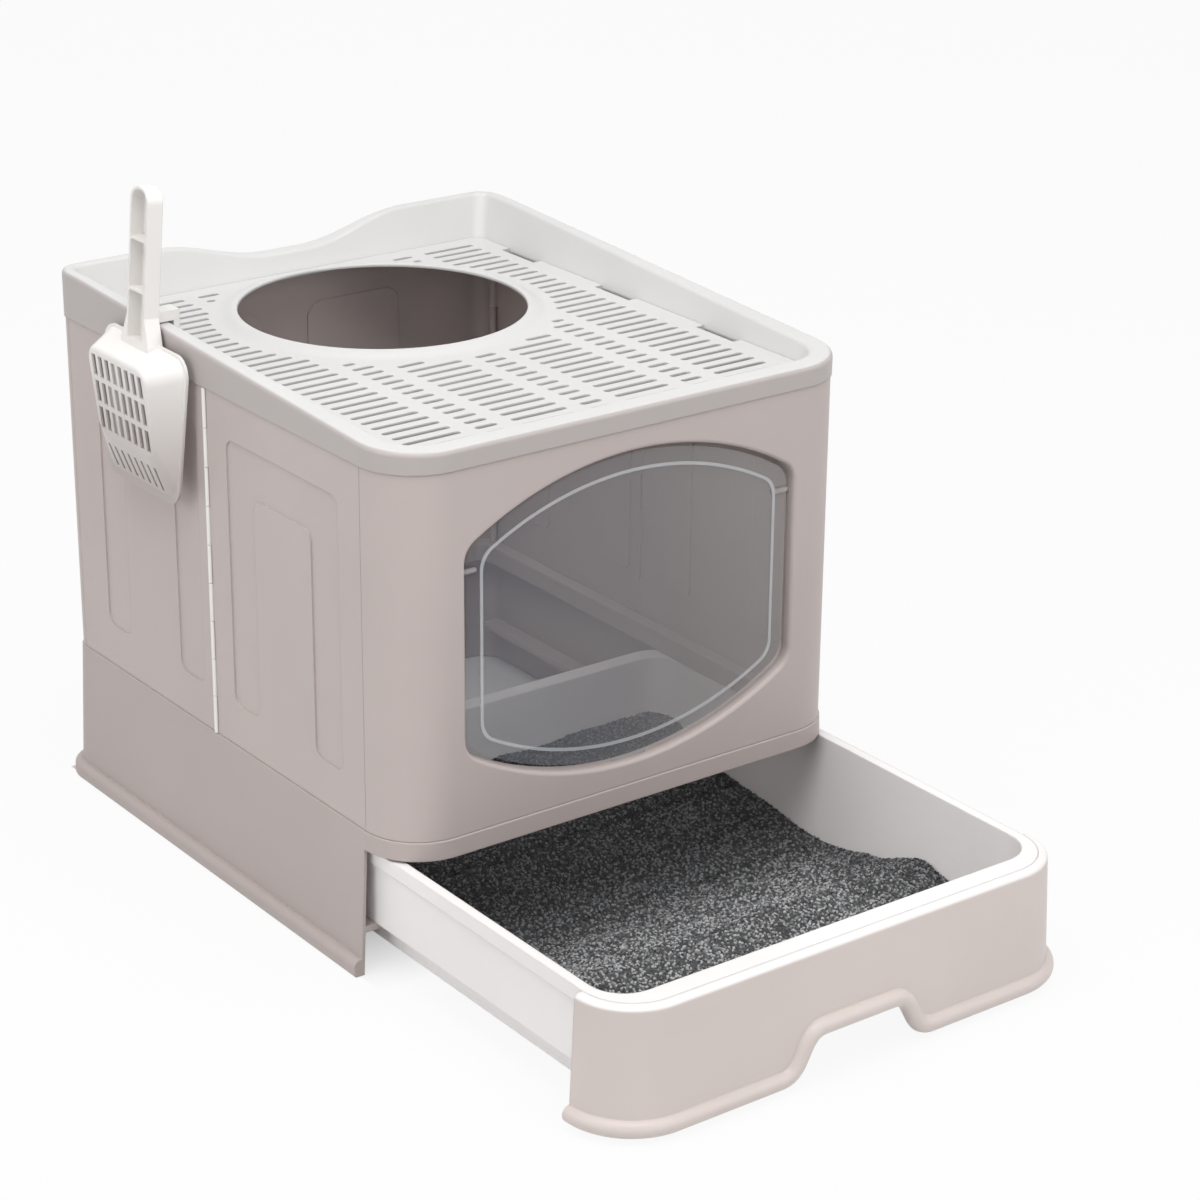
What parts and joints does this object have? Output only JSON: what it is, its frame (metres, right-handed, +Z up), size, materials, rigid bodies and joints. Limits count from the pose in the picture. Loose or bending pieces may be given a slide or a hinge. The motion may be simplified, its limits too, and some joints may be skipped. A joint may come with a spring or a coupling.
{
  "type": "foldable covered litter box",
  "caption": "Covered litter box with inward-folding hinged walls, swinging clear entry flap, slotted lid with round entry hole, pull-out litter drawer and hanging scoop.",
  "frame": {"origin": "on the floor under the middle of the box's footprint", "axes": "+Z up, the front with its flap and drawer faces -Y, +X is to the right seen from the front"},
  "size_m": [0.4452, 0.7441, 0.5175],
  "materials": {
    "wall_plastic": "fine matte moulding",
    "lid_plastic": "satin moulding",
    "tray_plastic": "satin moulding",
    "scoop_plastic": "smooth moulding",
    "flap_plastic": "smoky clear sheet",
    "pin_plastic": "plain rod",
    "litter": "loose dark granules"
  },
  "bodies": {
    "housing": {"base_frame": "wall_plastic", "rear_wall": "wall_plastic", "left_rear_hinge_pin": "pin_plastic", "right_rear_hinge_pin": "pin_plastic"},
    "left_rear_panel": {"left_rear_leaf": "wall_plastic", "left_middle_hinge_pin": "pin_plastic"},
    "left_front_panel": {"left_front_leaf": "wall_plastic", "left_front_hinge_pin": "pin_plastic"},
    "front_panel": {"front_wall": "wall_plastic", "right_front_hinge_pin": "pin_plastic"},
    "right_rear_panel": {"right_rear_leaf": "wall_plastic", "right_middle_hinge_pin": "pin_plastic"},
    "right_front_panel": {"right_front_leaf": "wall_plastic"},
    "flap": {"flap_panel": "flap_plastic", "left_flap_pin": "pin_plastic", "right_flap_pin": "pin_plastic"},
    "lid": {"lid_frame": "lid_plastic", "lid_grate": "lid_plastic"},
    "scoop": {"litter_scoop": "scoop_plastic"},
    "drawer": {"litter_tray": "tray_plastic", "drawer_front": "tray_plastic", "litter_fill": "litter"}
  },
  "joints": [
    {"name": "wall_fold", "type": "hinge", "parent": "housing", "child": "left_rear_panel", "pos_m": [-0.1942, 0.218, 0.249], "axis": [0, 0, 1], "range_deg": [0, 68]},
    {"name": "left_middle_fold", "type": "hinge", "parent": "left_rear_panel", "child": "left_front_panel", "pos_m": [-0.2, 0.0135, 0.249], "axis": [0, 0, 1], "range_deg": [-136, 0]},
    {"name": "left_front_fold", "type": "hinge", "parent": "left_front_panel", "child": "front_panel", "pos_m": [-0.1942, -0.191, 0.249], "axis": [0, 0, 1], "range_deg": [0, 68]},
    {"name": "right_rear_fold", "type": "hinge", "parent": "housing", "child": "right_rear_panel", "pos_m": [0.1942, 0.218, 0.249], "axis": [0, 0, 1], "range_deg": [-68, 0]},
    {"name": "right_middle_fold", "type": "hinge", "parent": "right_rear_panel", "child": "right_front_panel", "pos_m": [0.2, 0.0135, 0.249], "axis": [0, 0, 1], "range_deg": [0, 136]},
    {"name": "flap_swing", "type": "hinge", "parent": "front_panel", "child": "flap", "pos_m": [0, -0.228, 0.3065], "axis": [-1, 0, 0], "range_deg": [-80, 85]},
    {"name": "drawer_slide", "type": "slide", "parent": "housing", "child": "drawer", "axis": [0, -1, 0], "range_m": [-0.249, 0.13]},
    {"name": "lid_lift", "type": "slide", "parent": "housing", "child": "lid", "axis": [0, 0, 1], "range_m": [0, 0.2]},
    {"name": "scoop_lift", "type": "slide", "parent": "lid", "child": "scoop", "axis": [0, 0, 1], "range_m": [0, 0.12]}
  ],
  "couplings": [
    {"joint": "left_middle_fold", "follows": "wall_fold", "ratio": -2},
    {"joint": "left_front_fold", "follows": "wall_fold", "ratio": 1},
    {"joint": "right_rear_fold", "follows": "wall_fold", "ratio": -1},
    {"joint": "right_middle_fold", "follows": "wall_fold", "ratio": 2}
  ]
}
